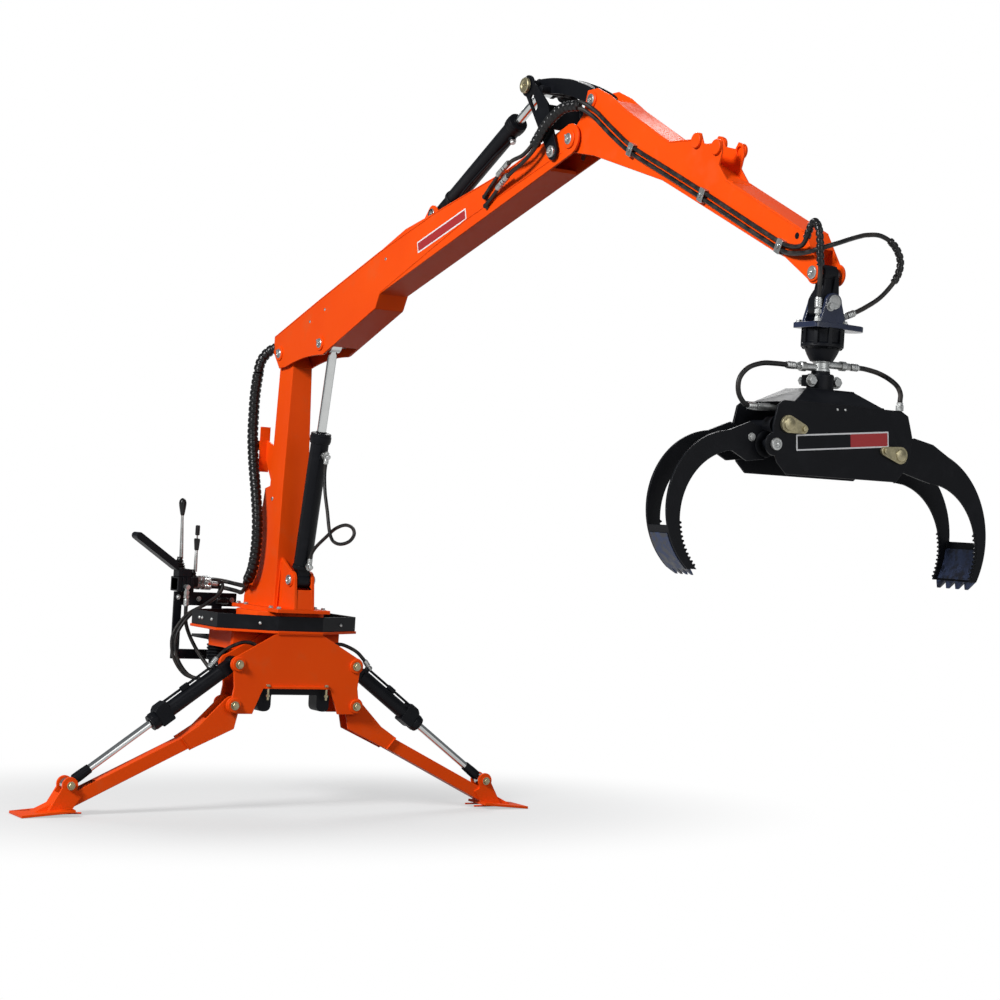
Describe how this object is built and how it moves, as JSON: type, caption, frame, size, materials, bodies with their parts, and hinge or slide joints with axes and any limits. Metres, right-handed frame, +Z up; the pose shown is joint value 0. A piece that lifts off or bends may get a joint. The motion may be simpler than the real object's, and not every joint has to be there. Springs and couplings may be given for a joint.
{
  "type": "log loader crane",
  "caption": "Folding log loader crane on spread outrigger legs, with a turning column, lifting boom, jointed stick, hydraulic rams, control levers and a hanging rotating log grapple.",
  "frame": {"origin": "on the slew axis, at the seat of the saddle clamp where the crane rests on its carrier", "axes": "+Z up along the slew axis; the boom reaches along -Y in the stored pose; the outriggers spread along X"},
  "size_m": [2.096, 3.618, 2.558],
  "materials": {
    "orange_paint": "gloss",
    "black_paint": "satin",
    "hard_chrome": "polished",
    "zinc": "satin",
    "hose_rubber": "matte",
    "black_plastic": "matte"
  },
  "bodies": {
    "base": {"base_front_plate": "orange_paint", "base_rear_plate": "orange_paint", "pedestal": "orange_paint", "deck_plate": "orange_paint", "guard_ring": "black_paint", "saddle_clamp": "black_paint", "base_pins": "zinc", "slew_gear": "black_paint", "slew_motor": "black_paint", "control_stand": "black_paint", "valve_bank": "black_paint", "control_levers": "black_plastic", "hand_guard": "black_paint", "valve_hoses": "hose_rubber", "valve_ports": "zinc"},
    "column": {"column": "orange_paint", "lift_bracket": "orange_paint", "column_hoses": "hose_rubber", "hose_bracket": "black_paint"},
    "leg_right": {"leg_right": "orange_paint"},
    "leg_left": {"leg_left": "orange_paint"},
    "leg_barrel_right": {"leg_barrel_right": "black_paint"},
    "leg_barrel_left": {"leg_barrel_left": "black_paint"},
    "leg_rod_right": {"leg_rod_right": "hard_chrome"},
    "leg_rod_left": {"leg_rod_left": "hard_chrome"},
    "lift_barrel": {"lift_barrel": "black_paint", "lift_hose": "hose_rubber", "lift_ports": "zinc"},
    "lift_rod": {"lift_rod": "hard_chrome"},
    "boom": {"boom": "orange_paint", "boom_pins": "zinc", "boom_hoses": "hose_rubber", "boom_ports": "zinc"},
    "rocker": {"rocker": "black_paint"},
    "stick": {"stick": "orange_paint", "stick_pins": "zinc", "stick_hoses": "hose_rubber"},
    "upper_link": {"upper_link": "black_paint"},
    "stick_barrel": {"stick_barrel": "black_paint"},
    "stick_rod": {"stick_rod": "hard_chrome"},
    "hanger": {"hanger": "black_paint"},
    "rotator": {"rotator": "black_paint"},
    "grapple": {"grapple_shaft": "black_paint", "grapple_body": "black_paint", "grapple_hoses": "hose_rubber", "grapple_ports": "zinc"},
    "grapple_barrel": {"grapple_barrel": "black_paint"},
    "grapple_rod": {"grapple_rod": "hard_chrome"},
    "tine_right": {"tine_right": "black_paint"},
    "tine_left": {"tine_left": "black_paint"}
  },
  "joints": [
    {"name": "slew", "type": "hinge", "parent": "base", "child": "column", "pos_m": [0, 0, 0.27], "axis": [0, 0, 1], "range_deg": [-115, 165]},
    {"name": "leg_right", "type": "hinge", "parent": "base", "child": "leg_right", "pos_m": [0.253, -0.128, -0.039], "axis": [0, -1, 0], "range_deg": [-8, 55]},
    {"name": "leg_barrel_right", "type": "hinge", "parent": "base", "child": "leg_barrel_right", "pos_m": [0.244, -0.128, 0.113], "axis": [0, -1, 0], "range_deg": [-8.5, 53]},
    {"name": "leg_rod_right", "type": "slide", "parent": "leg_barrel_right", "child": "leg_rod_right", "axis": [0.8121, 0, -0.5835], "range_m": [-0.137, 0.023]},
    {"name": "leg_left", "type": "hinge", "parent": "base", "child": "leg_left", "pos_m": [-0.253, -0.128, -0.039], "axis": [0, 1, 0], "range_deg": [-8, 55]},
    {"name": "leg_barrel_left", "type": "hinge", "parent": "base", "child": "leg_barrel_left", "pos_m": [-0.244, -0.128, 0.113], "axis": [0, 1, 0], "range_deg": [-8.5, 53]},
    {"name": "leg_rod_left", "type": "slide", "parent": "leg_barrel_left", "child": "leg_rod_left", "axis": [-0.8121, 0, -0.5835], "range_m": [-0.137, 0.023]},
    {"name": "boom_lift", "type": "hinge", "parent": "column", "child": "boom", "pos_m": [0, 0.019, 1.285], "axis": [-1, 0, 0], "range_deg": [-38, 30]},
    {"name": "lift_barrel", "type": "hinge", "parent": "column", "child": "lift_barrel", "pos_m": [0, -0.158, 0.432], "axis": [-1, 0, 0], "range_deg": [-2.5, 2]},
    {"name": "lift_rod", "type": "slide", "parent": "lift_barrel", "child": "lift_rod", "axis": [0, -0.1787, 0.9839], "range_m": [-0.23, 0.18]},
    {"name": "stick_fold", "type": "hinge", "parent": "boom", "child": "stick", "pos_m": [0, -1.941, 1.89], "axis": [-1, 0, 0], "range_deg": [-75, 30]},
    {"name": "rocker", "type": "hinge", "parent": "boom", "child": "rocker", "pos_m": [0, -1.863, 1.857], "axis": [-1, 0, 0], "range_deg": [-49, 20]},
    {"name": "upper_link", "type": "hinge", "parent": "stick", "child": "upper_link", "pos_m": [0, -2.035, 2.001], "axis": [-1, 0, 0], "range_deg": [-12, 28]},
    {"name": "stick_barrel", "type": "hinge", "parent": "boom", "child": "stick_barrel", "pos_m": [0, -1.062, 1.733], "axis": [-1, 0, 0], "range_deg": [-2.5, 1.5]},
    {"name": "stick_rod", "type": "slide", "parent": "stick_barrel", "child": "stick_rod", "axis": [0, -0.8749, 0.4844], "range_m": [-0.095, 0.232]},
    {"name": "hanger_swing", "type": "hinge", "parent": "stick", "child": "hanger", "pos_m": [0, -3.151, 1.406], "axis": [1, 0, 0], "range_deg": [-110, 55]},
    {"name": "cross_swing", "type": "hinge", "parent": "hanger", "child": "rotator", "pos_m": [0, -3.151, 1.33], "axis": [0, 1, 0], "range_deg": [-35, 35]},
    {"name": "rotator_spin", "type": "hinge", "parent": "rotator", "child": "grapple", "pos_m": [0, -3.151, 1.2], "axis": [0, 0, 1], "continuous": true},
    {"name": "tine_right", "type": "hinge", "parent": "grapple", "child": "tine_right", "pos_m": [0.208, -3.151, 0.943], "axis": [0, 1, 0], "range_deg": [-10, 64]},
    {"name": "tine_left", "type": "hinge", "parent": "grapple", "child": "tine_left", "pos_m": [-0.208, -3.151, 0.943], "axis": [0, -1, 0], "range_deg": [-10.5, 64.5]},
    {"name": "grapple_barrel", "type": "hinge", "parent": "grapple", "child": "grapple_barrel", "pos_m": [-0.15, -3.151, 0.997], "axis": [0, 1, 0], "range_deg": [-6, 2]},
    {"name": "grapple_rod", "type": "slide", "parent": "grapple_barrel", "child": "grapple_rod", "axis": [1, 0, 0], "range_m": [-0.014, 0.087]}
  ],
  "couplings": [
    {"joint": "leg_barrel_right", "follows": "leg_right", "ratio": 0.9361},
    {"joint": "leg_rod_right", "follows": "leg_right", "m_per_rad": -0.1402},
    {"joint": "leg_barrel_left", "follows": "leg_left", "ratio": 0.9361},
    {"joint": "leg_rod_left", "follows": "leg_left", "m_per_rad": -0.1402},
    {"joint": "lift_barrel", "follows": "boom_lift", "ratio": 0.0507},
    {"joint": "lift_rod", "follows": "boom_lift", "m_per_rad": 0.3238},
    {"joint": "rocker", "follows": "stick_fold", "ratio": 0.6386},
    {"joint": "upper_link", "follows": "stick_fold", "ratio": -0.3641},
    {"joint": "stick_barrel", "follows": "stick_fold", "ratio": 0.026},
    {"joint": "stick_rod", "follows": "stick_fold", "m_per_rad": -0.174},
    {"joint": "tine_left", "follows": "tine_right", "ratio": 1},
    {"joint": "grapple_barrel", "follows": "tine_right", "ratio": -0.0748},
    {"joint": "grapple_rod", "follows": "tine_right", "m_per_rad": 0.0741}
  ]
}
